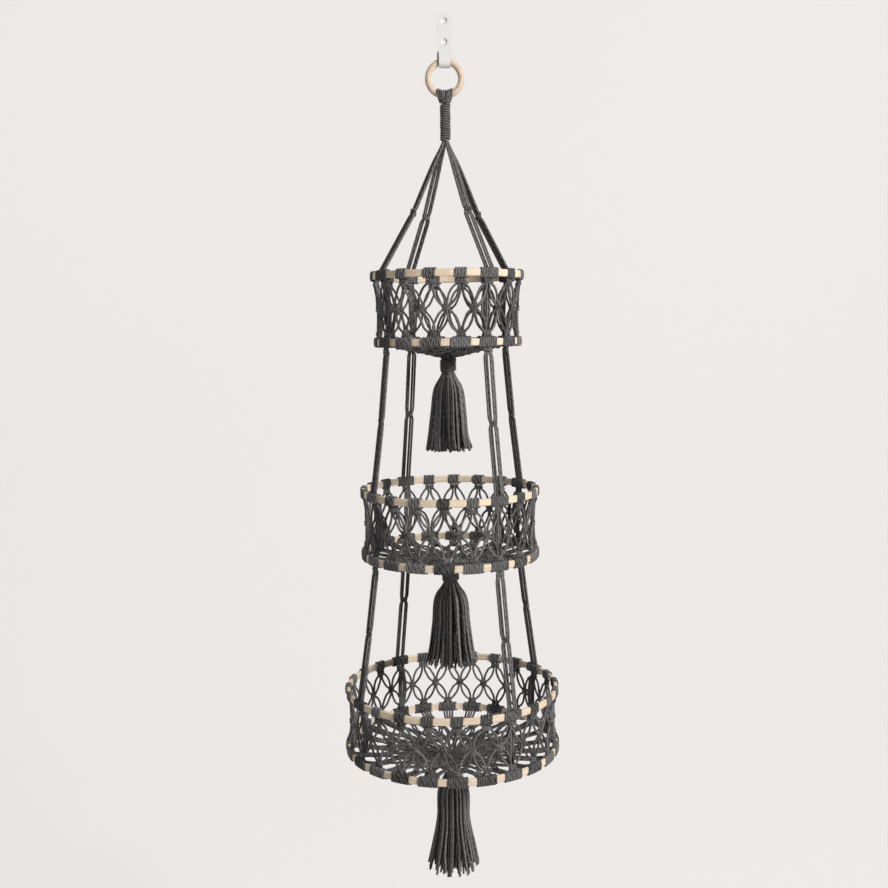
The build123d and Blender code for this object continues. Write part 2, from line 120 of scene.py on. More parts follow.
# Legs
LEG_AZIMUTH = radians(32.4)
LEG_PLACES = ("front_right", "back_right", "back_left", "front_left")
LEG_STRAND_SHARES = (-1.5, -0.68, 0.68, 1.5)
SIDE_STRAND_SHARES = (-1.4, -0.48, 0.48, 1.4)
STRAND_WANDER_SHARES = (0.1, 0.15)
STRAND_PITCH = 0.0041
STRAND_PITCH_AT_KNOT = 0.0025
FAN_LENGTH = 0.030
FAN_RADIUS = 0.0042
FAN_PITCH = 0.0024
FAN_OPEN_PITCH = FAN_PITCH * 1.3
FAN_TUCKED = (0.5 * FAN_RADIUS, NECK_TUCK / 2, 0.2 * CORD)
FAN_BOUND = (0.72 * FAN_RADIUS, CORD / 4, 0.25 * CORD)
STRAND_SINK = 0.0003
# How far the strands have opened at a distance from a knot
CLOSING = ((0.003, 0.72), (0.006, 0.93), (0.010, 1.0), (0.016, 1.0))
# The knots halfway down the legs: a radius and a height
UPPER_KNOT = (0.0539, -0.2508)
MIDDLE_KNOT = (0.1108, -0.5388)
LOWER_KNOT = (0.1360, -0.8314)

# Knots
KNOT_WIDTH = 0.0150
NET_KNOT_HEIGHT = 0.0070
HOOP_KNOT_HEIGHT = 0.0054
MIDDLE_KNOT_WIDTH = 0.0115
LEG_KNOT_WIDTH = 0.0135
KNOT_HEIGHT = 0.0085
KNOT_DEPTH = 0.0064
KNOT_CORD = 0.0028
KNOT_JITTER = 0.02
# The two cords of a square knot: shares of its width, of half its depth and of its height
KNOT_OVER_SHARES = (
    (-0.36, 0.0, 0.62), (-0.46, 0.3, 0.42), (-0.2, 1.0, 0.28), (0.2, 1.0, 0.25),
    (0.46, 0.3, 0.18), (0.5, -0.1, 0.0), (0.46, 0.3, -0.18), (0.2, 1.0, -0.25),
    (-0.2, 1.0, -0.28), (-0.46, 0.3, -0.42), (-0.36, 0.0, -0.62),
)
KNOT_UNDER_SHARES = (
    (0.36, 0.0, 0.62), (0.44, 0.9, 0.42), (0.36, 0.1, 0.22), (0.2, -1.0, 0.1),
    (-0.2, -1.0, 0.06), (-0.47, -0.1, 0.08), (-0.5, 0.8, 0.0), (-0.4, 0.2, -0.12),
    (-0.2, -1.0, -0.16), (0.2, -1.0, -0.2), (0.47, -0.1, -0.34), (0.36, 0.0, -0.62),
)

# Side nets. Two strands leave each side of a knot, one near its middle and one far
NET_WAIST = 0.0035
NEAR = 0.0019
FAR = 0.0052
HOOP_STRAND_SHARES = (1.15, 1.0, 0.8)
PETAL_BOW = 0.0035
PETAL_SHARES = ((0.2, 0.7), (0.5, 1.0), (0.8, 0.7))
PETAL_START_SHARE = 0.35
PETAL_TUCK_SHARE = 0.2
PETAL_TUCK_CLOSING = 0.6
PETAL_JITTER = CORD * 0.16
PETAL_DEPTH_JITTER = 0.12
SIDE_STRAND_INSET = 0.0034

# Floor nets
FLOOR_RIM_DROP = 0.001
FLOOR_SAG = 0.0175
FLOOR_INSET = 0.0063
FLOOR_RING_SHARES = (0.76, 0.6, 0.45, 0.32)
FLOOR_KNOT_WIDTHS = (0.0130, 0.0125, 0.0115, 0.0095)
FLOOR_START_OFFSETS = (-0.0080, -0.0027, 0.0027, 0.0080)
FLOOR_NARROWING = (0.9, 0.75)
FLOOR_KNOT_SPREAD = 1.8
FLOOR_BOW = 0.0022
FLOOR_FAR = FAR * 0.8
FLOOR_START_WANDER = 0.3
FLOOR_PAIR_WANDER = (-0.3, 0.6)

# Gathers: the place across and the layer of each strand from a knot, and the way down to the wrap
GATHER_STRANDS = ((-0.5, 0.0), (0.5, 0.35), (0.0, -0.6))
GATHER_SPREADS = (1.6, 1.4)
GATHER_EDGE = (1.25, 0.1)
GATHER_CROWN = 0.9
GATHER_CROWN_STEP = 0.1
GATHER_CROWN_LEAST = 0.7
GATHER_TURN = (0.85, 0.9)
GATHER_NECK_SHARE = 0.72

# Tassels, whose shells are pairs of a count of strands and a share of the radius
TASSEL_WRAP_TURNS = 6
TASSEL_TUCK = 0.006
TASSEL_SHELLS = ((40, 1.0), (36, 0.82), (28, 0.62), (18, 0.42), (8, 0.2))
TASSEL_CORD = 0.0029
TASSEL_NECK_SHARE = 0.88
TASSEL_SHOULDER_SHARE = 1.1
TASSEL_SHOULDER = 0.004
TASSEL_SHELL_RANGE = (0.93, 1.0)
TASSEL_ANGLE_WANDER = 0.06
TASSEL_SWIRL = 0.07
TASSEL_END_SWIRL = 1.5
TASSEL_LOOSENESS = 0.06
TASSEL_FRAY = 0.03
TASSEL_FRAY_MOST = 0.12
TASSEL_FLARE_RANGE = (0.94, 1.03)
TASSEL_LEVELS = (0.17, 0.5, 0.8)
TASSEL_RADII = {
    "top": (0.0184, 0.0250, 0.0290),
    "middle": (0.0218, 0.0277, 0.0330),
    "lower": (0.0208, 0.0243, 0.0330),
}


class Tier:
    """Where one basket's hoops, nets and tassel are, read from the frame."""

    def __init__(self, name, groups):
        self.name = name
        self.groups = groups
        rim_low, rim_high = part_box(f"{name}_basket_top_hoop")
        base_low, base_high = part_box(f"{name}_basket_bottom_hoop")
        net_low, net_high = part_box(f"{name}_basket_side_net")
        gather_low, gather_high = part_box(f"{name}_basket_gather")
        wrap_low, wrap_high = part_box(f"{name}_tassel_wrap")
        self.skirt_low, self.skirt_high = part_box(f"{name}_tassel")
        self.rim_radius = (rim_high.x - rim_low.x - BAND_THICKNESS) / 2
        self.rim_z = (rim_low.z + rim_high.z) / 2
        self.base_radius = (base_high.x - base_low.x - BAND_THICKNESS) / 2
        self.base_z = (base_low.z + base_high.z) / 2
        self.net_top = net_high.z
        self.net_bottom = net_low.z
        self.gather_radius = (gather_high.x - gather_low.x) / 2
        self.wrap_top = wrap_high.z
        self.wrap_bottom = wrap_low.z
        self.skirt_radius = (self.skirt_high.x - self.skirt_low.x) / 2

    def net_radius(self, z):
        """The side net's radius at a height, between the hoops and drawn in halfway."""
        share = (z - self.base_z) / (self.rim_z - self.base_z)
        waist = NET_WAIST * 4 * share * (1 - share)
        return self.base_radius + share * (self.rim_radius - self.base_radius) - waist

    def azimuths(self):
        """The directions of the cord groups, the first on a leg, as pairs of an angle and on_leg."""
        every = self.groups // len(LEG_PLACES)
        step = 2 * pi / self.groups
        return [(LEG_AZIMUTH + step * index, index % every == 0) for index in range(self.groups)]


tiers = (Tier("top", 16), Tier("middle", 20), Tier("lower", 24))
ring_low, ring_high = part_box("wood_ring")
HANG_Y = (ring_low.y + ring_high.y) / 2


def around(radius, angle, z):
    """A point about the hanging axis, at an angle from the front towards the right."""
    return np.array((radius * sin(angle), HANG_Y - radius * cos(angle), z))


class Place:
    """A point with its own axes: across to the right, outward and up."""

    def __init__(self, origin, across, outward, up):
        self.origin = np.array(origin, float)
        self.axes = np.array((across, outward, up), float)

    def put(self, points):
        """Points given along the place's axes, in the row frame."""
        return self.origin + np.asarray(points, float) @ self.axes


def side_place(radius, angle, z):
    """A place on an upright cylinder about the hanging axis."""
    across = (cos(angle), sin(angle), 0)
    outward = (sin(angle), -cos(angle), 0)
    return Place(around(radius, angle, z), across, outward, (0, 0, 1))


def smooth(points, spacing=SPACING):
    """Points close together on a smooth curve through the given ones."""
    points = np.asarray(points, float)
    steps = np.linalg.norm(np.diff(points, axis=0), axis=1)
    along = np.concatenate(([0], np.cumsum(steps)))
    slopes = np.gradient(points, along, axis=0)
    samples = np.linspace(0, along[-1], max(2, round(along[-1] / spacing)) + 1)
    span = np.clip(np.searchsorted(along, samples, side="right") - 1, 0, len(steps) - 1)
    step = steps[span][:, None]
    share = ((samples - along[span]) / steps[span])[:, None]
    start, end = points[span], points[span + 1]
    leave, reach = slopes[span] * step, slopes[span + 1] * step
    rise = share * share * (3 - 2 * share)
    curve = start + (end - start) * rise + leave * share * (1 - share) ** 2
    return curve - reach * share**2 * (1 - share)


def jitter(points, amount):
    """The points, each moved by up to an amount each way."""
    return [[value + dice.uniform(-amount, amount) for value in point] for point in points]


def carried_normals(tangents):
    """A direction across a line at each of its points, which doesn't twist along it."""
    normals = np.empty_like(tangents)
    normal = np.array((0, 0, 1.0) if abs(tangents[0][2]) < 0.9 else (0, 1.0, 0))
    for index, tangent in enumerate(tangents):
        normal = normal - normal.dot(tangent) * tangent
        normal /= sqrt(normal.dot(normal))
        normals[index] = normal
    return normals


class Cords:
    """Gathers cords into one mesh, with a map round and along each cord from its own whole number."""

    def __init__(self):
        self.points = []
        self.faces = []
        self.map = []
        self.count = 0
        self.cords = 0

    def add(self, line, width=CORD, thickness=None, outward=None):
        """A cord along a line, round or pressed flat towards the outward directions."""
        line = np.asarray(line, float)
        thickness = thickness or width
        tangents = np.gradient(line, axis=0)
        tangents /= np.linalg.norm(tangents, axis=1)[:, None]
        if outward is None:
            outward = carried_normals(tangents)
        across = np.cross(tangents, outward)
        across /= np.linalg.norm(across, axis=1)[:, None]
        turns = np.linspace(0, 2 * pi, SIDES, endpoint=False)
        ring = outward[:, None] * np.cos(turns)[:, None] * thickness / 2
        ring = ring + across[:, None] * np.sin(turns)[:, None] * width / 2
        self.points.append((line[:, None] + ring).reshape(-1, 3))
        self.add_faces(line)

    def add_faces(self, line):
        """The faces round a cord and at its ends, with their places on the map."""
        sections = len(line)
        steps = np.linalg.norm(np.diff(line, axis=0), axis=1)
        along = np.concatenate(([0], np.cumsum(steps))) / CORD_LAY + dice.random()
        section, side = np.meshgrid(np.arange(sections - 1), np.arange(SIDES), indexing="ij")
        onward = (side + 1) % SIDES
        corners = (
            section * SIDES + side,
            section * SIDES + onward,
            (section + 1) * SIDES + onward,
            (section + 1) * SIDES + side,
        )
        self.faces.extend((np.stack(corners, -1).reshape(-1, 4) + self.count).tolist())
        near, far = along[section], along[section + 1]
        round_near, round_far = side / SIDES + self.cords, (side + 1) / SIDES + self.cords
        places = (round_near, near, round_far, near, round_far, far, round_near, far)
        self.map.append(np.stack(places, -1).reshape(-1, 2))
        ends = np.arange(SIDES)
        self.faces.append((ends[::-1] + self.count).tolist())
        self.faces.append((ends + self.count + (sections - 1) * SIDES).tolist())
        self.map.append(np.stack((ends[::-1] / SIDES + self.cords, np.full(SIDES, along[0])), -1))
        self.map.append(np.stack((ends / SIDES + self.cords, np.full(SIDES, along[-1])), -1))
        self.count += sections * SIDES
        self.cords += 1

    def make(self, name, material, slot, *nodes):
        """The piece that stands for the named nodes."""
        mesh = bpy.data.meshes.new(name)
        mesh.from_pydata(np.concatenate(self.points).tolist(), [], self.faces)
        layer = mesh.uv_layers.new(name="CordMap")
        layer.data.foreach_set("uv", np.concatenate(self.map).astype(np.float32).ravel())
        mesh.shade_smooth()
        mesh.materials.append(material)
        piece = bpy.data.objects.new(name, mesh)
        bpy.context.scene.collection.objects.link(piece)
        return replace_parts(piece, *nodes)


# Materials

CORD_PLIES = 3.0
CORD_RAMP = (0.22, 0.75)
CORD_BUMP = (0.9, 0.0006)
FIBRE_SCALE = (22.0, 9.0, 1.0)
FIBRE_HEIGHT = 0.35
DYE_SCALE = 160.0
# Ends of the cords' colour ramps; between them lie uneven dye and painted light and shade
CORD_DARK = (0.005, 0.005, 0.005)
CORD_LIGHT = (0.178, 0.174, 0.175)
TASSEL_DARK = (0.003, 0.003, 0.003)
TASSEL_LIGHT = (0.190, 0.186, 0.186)
BENT_STREAK_SCALE = (2.5, 700.0, 700.0)
BENT_PATCH_SCALE = (4.0, 30.0, 30.0)
BENT_WOOD_RAMP = ((0.25, (0.50, 0.37, 0.26)), (0.5, (0.67, 0.55, 0.42)), (0.75, (0.76, 0.66, 0.53)))
TURNED_STREAK_SCALE = (35.0, 420.0, 420.0)
TURNED_PATCH_SCALE = 60.0
TURNED_WOOD_RAMP = ((0.25, (0.45, 0.34, 0.25)), (0.5, (0.56, 0.445, 0.34)), (0.8, (0.66, 0.545, 0.435)))
PEEL_SCALE = 900.0
PAINT_TONE_SCALE = 40.0
PAINT_RAMP = ((0.3, (0.62, 0.615, 0.61)), (0.7, (0.67, 0.665, 0.66)))
STAGE_TONE_SCALE = 0.8
STAGE_RAMP = ((0.3, (0.80, 0.785, 0.775)), (0.7, (0.83, 0.815, 0.805)))
BACKDROP_SHARE = 0.85
BACKDROP_COLOUR = (0.865, 0.832, 0.818, 1)


class Material:
    """A node material with one Principled shader."""

    def __init__(self, name, roughness, **sockets):
        self.material = bpy.data.materials.new(name)
        self.material.use_nodes = True
        self.nodes = self.material.node_tree.nodes
        self.links = self.material.node_tree.links
        self.shader = self.nodes["Principled BSDF"]
        self.shader.inputs["Roughness"].default_value = roughness
        for socket, value in sockets.items():
            self.shader.inputs[socket.replace("_", " ")].default_value = value

    def node(self, kind, inputs=(), **settings):
        """A node with its settings, whose inputs are set to numbers or linked from sockets."""
        node = self.nodes.new(kind)
        for key, value in settings.items():
            setattr(node, key, value)
        for key, value in dict(inputs).items():
            if isinstance(value, bpy.types.NodeSocket):
                self.links.new(value, node.inputs[key])
            else:
                node.inputs[key].default_value = value
        return node

    def math(self, operation, first, second=0.0, third=0.0):
        """The output of a Math node."""
        inputs = {0: first, 1: second, 2: third}
        return self.node("ShaderNodeMath", inputs, operation=operation).outputs[0]

    def noise(self, vector, scale, detail=3.0, roughness=0.5):
        """The factor of a Noise texture."""
        inputs = {"Vector": vector, "Scale": scale, "Detail": detail, "Roughness": roughness}
        return self.node("ShaderNodeTexNoise", inputs).outputs["Fac"]

    def stretched(self, vector, scale):
        """A vector scaled along its axes."""
        return self.node("ShaderNodeMapping", {"Vector": vector, "Scale": scale}).outputs[0]

    def ramp(self, factor, *stops):
        """A Color Ramp through pairs of a place and a colour."""
        node = self.node("ShaderNodeValToRGB", {0: factor})
        elements = node.color_ramp.elements
        while len(elements) < len(stops):
            elements.new(0.5)
        for element, (place, colour) in zip(elements, stops):
            element.position = place
            element.color = (*colour, 1)
        return node.outputs[0]

    def bump(self, height, strength, distance):
        """Drives the shader's normal."""
        inputs = {"Height": height, "Strength": strength, "Distance": distance}
        self.links.new(self.node("ShaderNodeBump", inputs).outputs[0], self.shader.inputs["Normal"])

    def colour(self, socket):
        """Drives the shader's base colour."""
        self.links.new(socket, self.shader.inputs["Base Color"])

    def coordinates(self, kind="Object"):
        """The object's own coordinates, which ride with it."""
        return self.node("ShaderNodeTexCoord").outputs[kind]


def cord_material(name, dark, light, painted_cord_shade_share, dye_share, painted_groove_shade_share):
    """Three plies of cotton laid into a cord, with loose fibres, uneven dye and painted light and
    shade.

    Each cord is painted lighter or darker at random, as if lit or shaded, and the grooves between the
    plies are painted darker, as if shaded. The shares say how much of the colour comes from each cord's
    painted shade, from the dye and from the painted shade of the ply grooves.
    """
    made = Material(
        name, roughness=0.65, Sheen_Weight=0.03, Sheen_Roughness=0.4, Specular_IOR_Level=0.25
    )
    uv = made.node("ShaderNodeUVMap", uv_map="CordMap").outputs[0]
    parts = made.node("ShaderNodeSeparateXYZ", {0: uv})
    plies = made.math("MULTIPLY", parts.outputs[0], CORD_PLIES)
    phase = made.math("MULTIPLY", made.math("ADD", plies, parts.outputs[1]), 2 * pi)
    ply = made.math("MULTIPLY_ADD", made.math("SINE", phase), 0.5, 0.5)
    fibres = made.noise(made.stretched(uv, FIBRE_SCALE), 1.0)
    dye = made.noise(made.coordinates(), DYE_SCALE)
    height = made.math("MULTIPLY_ADD", fibres, FIBRE_HEIGHT, ply)
    # Each cord's whole number picks its painted shade: lighter or darker at random, as if lit or shaded
    count = made.math("FLOOR", parts.outputs[0])
    painted_cord_shade = made.node("ShaderNodeTexWhiteNoise", {1: count}, noise_dimensions="1D").outputs["Value"]
    dye_and_painted_cord_shade = made.math("MULTIPLY_ADD", painted_cord_shade, painted_cord_shade_share, made.math("MULTIPLY", dye, dye_share))
    # The ply pattern paints the grooves between the plies darker, as if shaded, besides driving the
    # bump
    shade = made.math("MULTIPLY_ADD", ply, painted_groove_shade_share, dye_and_painted_cord_shade)
    made.colour(made.ramp(shade, *zip(CORD_RAMP, (dark, light))))
    made.bump(height, *CORD_BUMP)
    return made.material


def bent_wood_material():
    """A pale strip of wood with its grain along the bend."""
    made = Material("bent_wood", roughness=0.55, Specular_IOR_Level=0.3)
    parts = made.node("ShaderNodeSeparateXYZ", {0: made.coordinates()})
    ahead = made.math("SUBTRACT", HANG_Y, parts.outputs[1])
    angle = made.math("ARCTAN2", parts.outputs[0], ahead)
    flat = made.node("ShaderNodeCombineXYZ", {0: parts.outputs[0], 1: ahead}).outputs[0]
    radius = made.node("ShaderNodeVectorMath", {0: flat}, operation="LENGTH").outputs["Value"]
    grain = made.node("ShaderNodeCombineXYZ", {0: angle, 1: radius, 2: parts.outputs[2]}).outputs[0]
    streaks = made.noise(made.stretched(grain, BENT_STREAK_SCALE), 1.0, detail=5.0, roughness=0.6)
    patches = made.noise(made.stretched(grain, BENT_PATCH_SCALE), 1.0)
    mixed = made.math("MULTIPLY_ADD", streaks, 0.65, made.math("MULTIPLY", patches, 0.35))
    made.colour(made.ramp(mixed, *BENT_WOOD_RAMP))
    made.bump(streaks, strength=0.25, distance=0.0003)
    return made.material


def turned_wood_material():
    """A ring turned from a pale board, with its grain straight across."""
    made = Material("turned_wood", roughness=0.5, Specular_IOR_Level=0.35)
    across = made.stretched(made.coordinates(), TURNED_STREAK_SCALE)
    streaks = made.noise(across, 1.0, detail=4.0, roughness=0.6)
    patches = made.noise(made.coordinates(), TURNED_PATCH_SCALE)
    mixed = made.math("MULTIPLY_ADD", streaks, 0.6, made.math("MULTIPLY", patches, 0.4))
    made.colour(made.ramp(mixed, *TURNED_WOOD_RAMP))
    made.bump(streaks, strength=0.2, distance=0.0003)
    return made.material


def painted_steel_material():
    """White paint on steel, with the soft orange peel of a baked coat."""
    made = Material("painted_steel", roughness=0.38, Specular_IOR_Level=0.5)
    peel = made.noise(made.coordinates(), PEEL_SCALE, detail=2.0)
    tone = made.noise(made.coordinates(), PAINT_TONE_SCALE)
    made.colour(made.ramp(tone, *PAINT_RAMP))
    made.bump(peel, strength=0.12, distance=0.0002)
    return made.material


def stage_material():
    """The pale floor and backdrop, which show the camera most of their colour whatever the light."""
    made = Material("stage", roughness=0.95, Specular_IOR_Level=0.1)
    tone = made.noise(made.coordinates(), STAGE_TONE_SCALE, detail=2.0)
    made.colour(made.ramp(tone, *STAGE_RAMP))
    camera_ray = made.node("ShaderNodeLightPath").outputs["Is Camera Ray"]
    seen = made.math("MULTIPLY", camera_ray, BACKDROP_SHARE)
    pale = made.node("ShaderNodeEmission", {"Color": BACKDROP_COLOUR}).outputs[0]
    mixed = made.node("ShaderNodeMixShader", {0: seen, 1: made.shader.outputs[0], 2: pale}).outputs[0]
    made.links.new(mixed, made.nodes["Material Output"].inputs["Surface"])
    return made.material


cord_look = cord_material(
    "charcoal_cord", CORD_DARK, CORD_LIGHT, painted_cord_shade_share=0.3, dye_share=0.45, painted_groove_shade_share=0.25
)
# The tassel gets more painted shade per cord and wider ramp ends, for more lit and shaded strands
tassel_look = cord_material(
    "charcoal_tassel_cord", TASSEL_DARK, TASSEL_LIGHT, painted_cord_shade_share=0.5, dye_share=0.38, painted_groove_shade_share=0.12
)
wood_look = bent_wood_material()
ring_look = turned_wood_material()
steel_look = painted_steel_material()


def dress_node(node, material):
    """Gives a CAD node that stays in view its finish."""
    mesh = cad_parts[node].data
    mesh.materials.clear()
    mesh.materials.append(material)


# Knots, wraps and strands


def square_knot(cords, place, width, height=KNOT_HEIGHT, depth=KNOT_DEPTH, cord=KNOT_CORD):
    """Two cords tied in a square knot round the strands behind them."""
    size = np.array((width - cord, (depth - cord) / 2, height))
    for shares in (KNOT_OVER_SHARES, KNOT_UNDER_SHARES):
        points = [[a * b for a, b in zip(share, size)] for share in jitter(shares, KNOT_JITTER)]
        cords.add(smooth(place.put(points), KNOT_SPACING), cord)


def hoop_wrap(cords, radius, z, angle, turns, pitch, width):
    """Cord wound over a hoop's band and pressed flat against the wood."""
    rise = WOUND_THICKNESS / 2 + WOUND_CLEARANCE
    half_depth = BAND_THICKNESS / 2 + rise
    half_height = BAND_HEIGHT / 2 + rise
    line = []
    outward = []
    for index in range(turns * WRAP_STEPS + 1):
        phase = 2 * pi * index / WRAP_STEPS - pi / 2
        turned = angle + pitch * (index / WRAP_STEPS - turns / 2) / radius
        out, up = (np.sign(value) * sqrt(abs(value)) for value in (cos(phase), sin(phase)))
        line.append(around(radius + half_depth * out, turned, z + half_height * up))
        slope = np.array((out**3 / half_depth, up**3 / half_height))
        slope /= np.linalg.norm(slope)
        outward.append((slope[0] * sin(turned), -slope[0] * cos(turned), slope[1]))
    cords.add(line, width, WOUND_THICKNESS, np.array(outward))


def upright_wrap(cords, radius, top, bottom, turns, cord):
    """Cord wound round an upright bundle, from the top down, and the bundle's core."""
    steps = turns * WRAP_STEPS
    line = []
    for index in range(steps + 1):
        share = index / steps
        z = top - cord / 2 - (top - bottom - cord) * share
        wander = sin(index * WRAP_WANDER_TURN) * cord * WRAP_WANDER_SHARE
        line.append(around(radius + wander, 2 * pi * turns * share, z))
    cords.add(line, cord * WRAP_FILL_SHARE)
    core = [around(0, 0, z) for z in np.linspace(top - cord, bottom + cord, turns)]
    cords.add(core, 2 * radius - cord * WRAP_CORE_SHARE)


def leg_strands(cords, angle, stops, shares=LEG_STRAND_SHARES):
    """A leg's strands through stops that are a radius, a height and a pitch."""
    places = [(side_place(radius, angle, z), pitch) for radius, z, pitch in stops]
    for share in shares:
        side, out = (dice.uniform(-1, 1) * CORD * wander for wander in STRAND_WANDER_SHARES)
        cords.add(smooth([place.put((share * pitch + side, out, 0)) for place, pitch in places]))


def knot_stops(knot, toward, pitch):
    """Stops on the straight from a knot, where the strands open from it to their pitch."""
    length = sqrt((toward[0] - knot[0]) ** 2 + (toward[1] - knot[1]) ** 2)
    stops = [(*knot, STRAND_PITCH_AT_KNOT)]
    for distance, opened in CLOSING:
        radius, z = (a + (b - a) * distance / length for a, b in zip(knot, toward))
        stops.append((radius, z, pitch * opened))
    return stops


def leg_stops(top, knot, bottom, pitch):
    """Stops down a leg to its knot and on to the hoop, each a radius, a height and a pitch."""
    above = knot_stops(knot, top, pitch)[::-1]
    below = knot_stops(knot, bottom, STRAND_PITCH)[1:]
    return above + below + [(*bottom, STRAND_PITCH)]


def squashed_leg(piece, body):
    """A leg that hangs from one body, with a mesh of its own."""
    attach(piece, body)
    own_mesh(piece)


def make_hitch():
    """The cords looped over the ring, and the start of the bundle under them."""
    wrap_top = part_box("neck_wrap")[1].z
    ring_radius = (ring_high.x - ring_low.x - RING_WIRE) / 2
    ring_z = (ring_low.z + ring_high.z) / 2
    bundle = (
        (HITCH_TUCKED_SHARES, wrap_top - NECK_TUCK),
        (HITCH_BOUND_SHARES, wrap_top),
        (HITCH_OPEN_SHARES, wrap_top + HITCH_OPEN_RISE),
    )
    cords = Cords()
    for index in range(HITCH_LOOPS):
        x = (index - (HITCH_LOOPS - 1) / 2) * HITCH_PITCH
        wire_z = ring_z - sqrt(ring_radius**2 - x**2)
        reach = RING_WIRE / 2 * ring_radius / (ring_z - wire_z) + HITCH_CLEARANCE + HITCH_CORD / 2
        corner = HITCH_CORNER_SHARE * reach
        side, below = HITCH_SIDE_SHARES
        points = [(along * x, -out * reach, z) for (along, out), z in bundle]
        points += [(side * x, -reach, wire_z - below * reach), (x, -reach, wire_z)]
        points += [(x, -corner, wire_z + corner), (x, 0, wire_z + reach)]
        points += [(x, -y, z) for x, y, z in points[-2::-1]]
        cords.add(smooth([(x, HANG_Y + y, z) for x, y, z in points]), HITCH_CORD)
    for turn, (half_width, half_depth) in enumerate(HITCH_BINDING):
        z = wrap_top + (turn + 0.5) * HITCH_CORD
        phases = [2 * pi * step / WRAP_STEPS for step in range(WRAP_STEPS + 1)]
        loop = [(half_width * sin(phase), HANG_Y - half_depth * cos(phase), z) for phase in phases]
        cords.add(loop, HITCH_CORD)
    piece = cords.make("ring_hitch_cords", cord_look, "knotted_cord", "ring_hitch")
    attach(piece, "neck")


def make_neck():
    """The long wrap under the ring."""
    low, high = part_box("neck_wrap")
    cord = (high.z - low.z) / NECK_TURNS
    cords = Cords()
    upright_wrap(cords, (NECK_WIDTH - cord) / 2, high.z, low.z, NECK_TURNS, cord)
    piece = cords.make("neck_wrap_cord", cord_look, "knotted_cord", "neck_wrap")
    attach(piece, "neck")


def make_upper_legs():
    """Four legs from the neck to the top hoop."""
    tier = tiers[0]
    neck_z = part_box("neck_wrap")[0].z
    hoop_z = tier.rim_z + BAND_HEIGHT / 2 + WOUND_THICKNESS - STRAND_SINK
    knot_radius, knot_z = UPPER_KNOT
    slope = (knot_radius - FAN_RADIUS) / (neck_z - knot_z)
    fan = (FAN_RADIUS + slope * FAN_LENGTH, neck_z - FAN_LENGTH)
    for quarter, place in enumerate(LEG_PLACES):
        angle = LEG_AZIMUTH + quarter * pi / 2
        cords = Cords()
        stops = [(radius, neck_z + rise, pitch) for radius, rise, pitch in (FAN_TUCKED, FAN_BOUND)]
        stops.append((*fan, FAN_PITCH))
        stops += leg_stops(fan, UPPER_KNOT, (tier.rim_radius, hoop_z), FAN_OPEN_PITCH)
        leg_strands(cords, angle, stops)
        square_knot(cords, side_place(knot_radius, angle, knot_z), LEG_KNOT_WIDTH)
        node = f"upper_leg_{place}"
        piece = cords.make(f"{node}_cords", cord_look, "knotted_cord", node)
        squashed_leg(piece, "hanger")


def make_tier_legs(kind, upper, lower, knot):
    """Four legs from the knots under one basket to the hoop of the next."""
    anchor_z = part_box(f"{kind}_leg_front_right")[1].z
    start_z = anchor_z - KNOT_HEIGHT / 2
    hoop_z = lower.rim_z + BAND_HEIGHT / 2 + WOUND_THICKNESS - STRAND_SINK
    under_z = upper.base_z - BAND_HEIGHT / 2 - WOUND_THICKNESS
    head = (upper.base_radius, start_z)
    stops = [(upper.base_radius, under_z, STRAND_PITCH_AT_KNOT)] + knot_stops(head, knot, STRAND_PITCH)
    stops += leg_stops(head, knot, (lower.rim_radius, hoop_z), STRAND_PITCH)
    for quarter, place in enumerate(LEG_PLACES):
        angle = LEG_AZIMUTH + quarter * pi / 2
        cords = Cords()
        leg_strands(cords, angle, stops)
        square_knot(cords, side_place(knot[0], angle, knot[1]), LEG_KNOT_WIDTH)
        square_knot(cords, side_place(upper.base_radius, angle, start_z), KNOT_WIDTH)
        node = f"{kind}_leg_{place}"
        piece = cords.make(f"{node}_cords", cord_look, "knotted_cord", node)
        squashed_leg(piece, f"{upper.name}_basket")


def make_wraps(tier):
    """The cord groups wound on both hoops."""
    rim, base = Cords(), Cords()
    full, narrow = (FULL_TURNS, FULL_PITCH, FULL_WIDTH), (NET_TURNS, NET_PITCH, NET_WIDTH)
    for angle, on_leg in tier.azimuths():
        hoop_wrap(rim, tier.rim_radius, tier.rim_z, angle, *(full if on_leg else narrow))
        hoop_wrap(base, tier.base_radius, tier.base_z, angle, *full)
    for cords, hoop in ((rim, "top"), (base, "bottom")):
        node = f"{tier.name}_basket_{hoop}_wraps"
        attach(cords.make(f"{node}_cords", cord_look, "knotted_cord", node), f"{tier.name}_basket")


def petal(cords, tier, angle, knot_z, middle_z, side):
    """Two strands that bow apart from a knot at a hoop to a knot halfway."""
    half_step = pi * (tier.rim_radius + tier.base_radius) / 2 / tier.groups
    way = 1 if middle_z > knot_z else -1
    for near, far, bow in ((NEAR, FAR, -PETAL_BOW), (FAR, NEAR, PETAL_BOW)):
        start = np.array((near, knot_z + way * HOOP_KNOT_HEIGHT * PETAL_START_SHARE))
        end = np.array((half_step - far, middle_z - way * NET_KNOT_HEIGHT * PETAL_START_SHARE))
        tucked = (near * PETAL_TUCK_CLOSING, knot_z - way * HOOP_KNOT_HEIGHT * PETAL_TUCK_SHARE)
        hidden_z = middle_z + way * NET_KNOT_HEIGHT * PETAL_TUCK_SHARE
        run = end - start
        across = np.array((abs(run[1]), -way * run[0])) / np.linalg.norm(run) * bow
        stops = [tucked, start]
        stops += [start + run * share + across * wide for share, wide in PETAL_SHARES]
        stops += [end, (half_step - far * PETAL_TUCK_CLOSING, hidden_z)]
        line = []
        for along, z in jitter(stops, PETAL_JITTER):
            radius = tier.net_radius(z) + dice.uniform(-1, 1) * CORD * PETAL_DEPTH_JITTER
            line.append(around(radius, angle + side * along / radius, z))
        cords.add(smooth(line))


